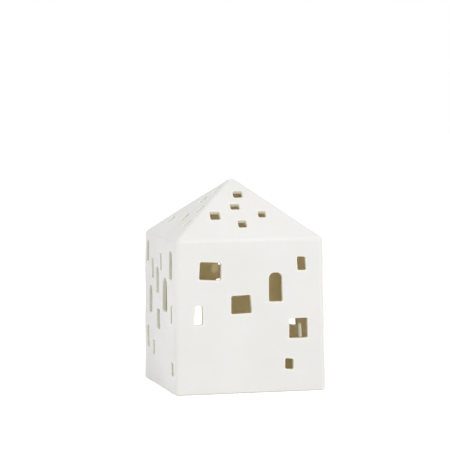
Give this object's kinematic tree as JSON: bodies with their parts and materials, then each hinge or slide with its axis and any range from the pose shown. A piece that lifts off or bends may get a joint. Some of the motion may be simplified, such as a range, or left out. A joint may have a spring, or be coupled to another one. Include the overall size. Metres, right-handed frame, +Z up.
{
  "type": "tealight house",
  "caption": "White glazed ceramic house with a pyramid roof and cut-out windows, open below, standing over a tealight in a metal cup.",
  "frame": {"origin": "centre of the square footprint, on the table that the house stands on", "axes": "+Z up to the tip of the roof; -Y is the front wall with seven windows, +X is the right-hand wall seen from the front"},
  "size_m": [0.098, 0.098, 0.1328],
  "materials": {
    "white_glaze": "white satin glaze over a pale clay body",
    "cup_aluminium": "bright drawn foil",
    "candle_wax": "white paraffin wax, slightly translucent",
    "wick_cotton": "waxed braided cotton",
    "sustainer_steel": "plain stamped tinplate"
  },
  "bodies": {
    "tealight": {"tealight_cup": "cup_aluminium"},
    "candle": {"tealight_wax": "candle_wax", "tealight_wick": "wick_cotton", "wick_sustainer": "sustainer_steel"},
    "house": {"house_shell": "white_glaze"}
  },
  "joints": [
    {"name": "house_lift", "type": "slide", "parent": "tealight", "child": "house", "axis": [0, 0, 1], "range_m": [0, 0.06]},
    {"name": "candle_lift", "type": "slide", "parent": "tealight", "child": "candle", "axis": [0, 0, 1], "range_m": [0, 0.02]}
  ]
}
